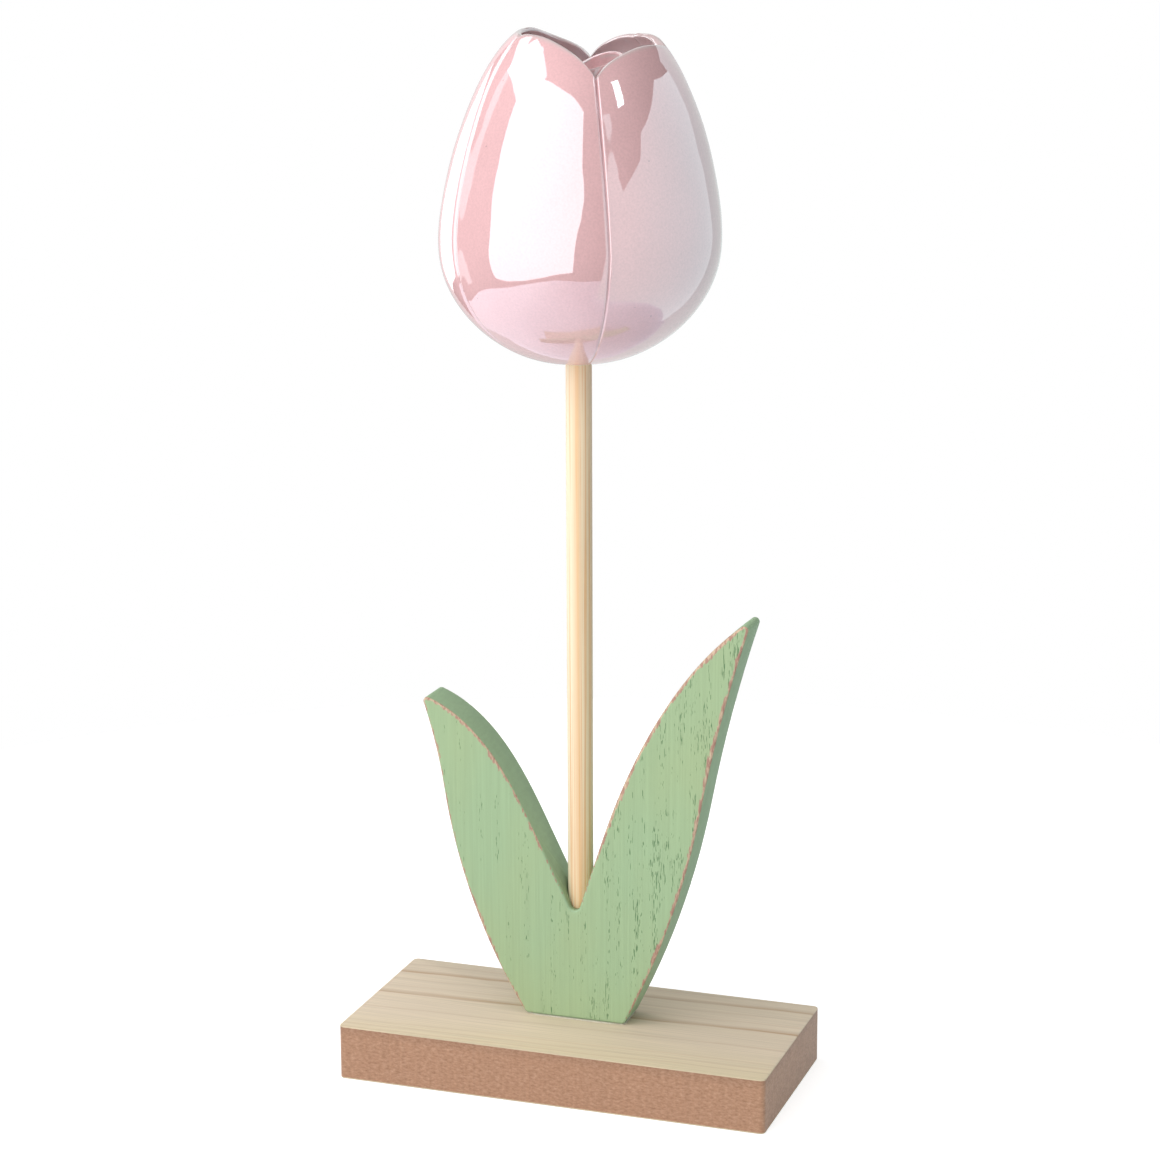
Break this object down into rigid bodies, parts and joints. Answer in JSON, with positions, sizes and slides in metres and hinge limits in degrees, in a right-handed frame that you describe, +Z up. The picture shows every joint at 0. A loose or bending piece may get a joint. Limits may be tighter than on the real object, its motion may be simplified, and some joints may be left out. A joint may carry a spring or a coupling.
{
  "type": "tulip ornament on a base",
  "caption": "Free-standing tulip ornament: glazed ceramic flower head on a bamboo stem, held in a painted leaf cut-out on a veneered board base.",
  "frame": {"origin": "centre of the base block's underside", "axes": "+Z up along the stem, +X along the base's long side to the taller leaf blade, -Y out of the leaf's front face"},
  "size_m": [0.1, 0.0614, 0.2346],
  "materials": {
    "lustre_glaze": "gloss pearl lustre glaze",
    "bamboo": "sanded, unfinished",
    "green_paint": "painted matt green over open-grained veneer, sanded at the edges",
    "leaf_fibreboard": "fibreboard, painted matt green on its edges",
    "base_fibreboard": "raw sawn fibreboard",
    "pale_veneer": "sanded pale veneer, unfinished",
    "clear_glue": "dried clear wood glue",
    "hot_melt": "milky hot-melt glue",
    "zinc_steel": "zinc plated"
  },
  "bodies": {
    "root": {"tulip_head": "lustre_glaze", "stem": "bamboo", "leaf_core": "leaf_fibreboard", "leaf_front_veneer": "green_paint", "leaf_back_veneer": "green_paint", "leaf_foot_glue": "clear_glue", "base_core": "base_fibreboard", "base_top_veneer": "pale_veneer", "base_bottom_veneer": "pale_veneer", "foot_screws": "zinc_steel", "socket_glue": "clear_glue", "head_glue": "hot_melt"}
  },
  "joints": []
}
